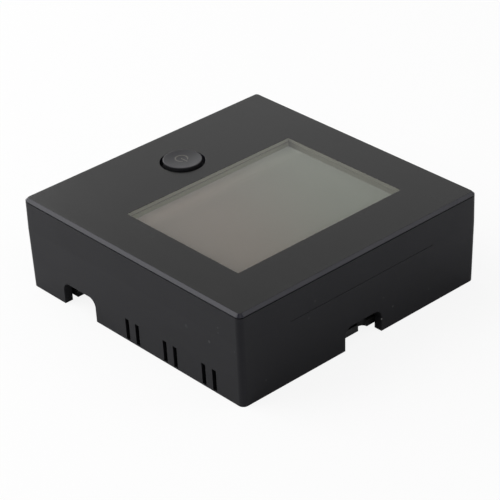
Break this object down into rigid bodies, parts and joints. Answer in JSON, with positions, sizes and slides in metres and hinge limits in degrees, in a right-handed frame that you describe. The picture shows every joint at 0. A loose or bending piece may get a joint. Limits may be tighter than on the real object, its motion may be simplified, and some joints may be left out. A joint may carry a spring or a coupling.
{
  "type": "wall thermostat",
  "caption": "Square surface-mounted wall thermostat: black casing with flush display window, round power button, side vents and cable notches, pushed onto a screwed wall plate.",
  "frame": {"origin": "centre of the back face, on the wall", "axes": "+Z out of the wall through the front panel, +Y up the wall, +X right seen from the front"},
  "size_m": [0.086, 0.086, 0.0283],
  "materials": {
    "casing_black": "fine satin moulded black",
    "panel_black": "smooth satin black",
    "button_black": "smooth satin black",
    "plate_black": "moulded black",
    "lens_clear": "clear polished window",
    "display_grey": "unlit display, warm grey",
    "display_glass": "ground glass cell",
    "frame_pale": "pale moulded frame",
    "guide_clear": "clear moulded acrylic",
    "sheet_white": "white film",
    "contact_rubber": "conductive rubber strip",
    "board_green": "coated circuit board",
    "component_black": "moulded black",
    "relay_blue": "moulded blue cover",
    "terminal_green": "moulded green",
    "socket_black": "moulded black",
    "winding_tape": "yellow tape over copper",
    "bobbin_black": "moulded black",
    "ferrite": "fired ferrite",
    "can_sleeve": "shrunk sleeve",
    "varistor_blue": "dipped coating",
    "fuse_brown": "moulded brown",
    "screw_steel": "zinc plated",
    "switch_steel": "pressed steel",
    "pin_brass": "gilt brass",
    "crystal_metal": "sealed metal lid",
    "bead_black": "dipped bead on tinned leads",
    "led_white": "moulded lamp body"
  },
  "bodies": {
    "base": {"wall_plate": "plate_black", "power_board": "board_green", "power_board_screws": "screw_steel", "terminal_block": "terminal_green", "terminal_clamps": "screw_steel", "terminal_screws": "screw_steel", "relay": "relay_blue", "transformer_core": "ferrite", "transformer_bobbin": "bobbin_black", "transformer_winding": "winding_tape", "input_capacitors": "can_sleeve", "output_capacitor": "can_sleeve", "fuse": "fuse_brown", "varistor": "varistor_blue", "rectifier": "component_black", "supply_chip": "component_black", "header_socket": "socket_black"},
    "front_unit": {"casing": "casing_black", "front_panel": "panel_black", "panel_screws": "screw_steel", "window_lens": "lens_clear", "display_frame": "frame_pale", "front_polariser": "display_grey", "lcd_cell": "display_glass", "diffuser_sheet": "sheet_white", "light_guide": "guide_clear", "reflector_sheet": "sheet_white", "backlight_leds": "led_white", "contact_strips": "contact_rubber", "display_board": "board_green", "display_board_screws": "screw_steel", "microcontroller": "component_black", "crystal": "crystal_metal", "buzzer": "component_black", "thermistor": "bead_black", "pin_header": "socket_black", "header_pins": "pin_brass", "switch_body": "component_black", "switch_cover": "switch_steel", "contact_dome": "switch_steel"},
    "button": {"power_button": "button_black", "switch_plunger": "component_black"}
  },
  "joints": [
    {"name": "front_unit_lift", "type": "slide", "parent": "base", "child": "front_unit", "axis": [0, 0, 1], "range_m": [0, 0.03]},
    {"name": "button_press", "type": "slide", "parent": "front_unit", "child": "button", "axis": [0, 0, -1], "range_m": [0, 0.00025], "stiffness_N_per_m": 4000, "deforming": ["contact_dome"]}
  ]
}
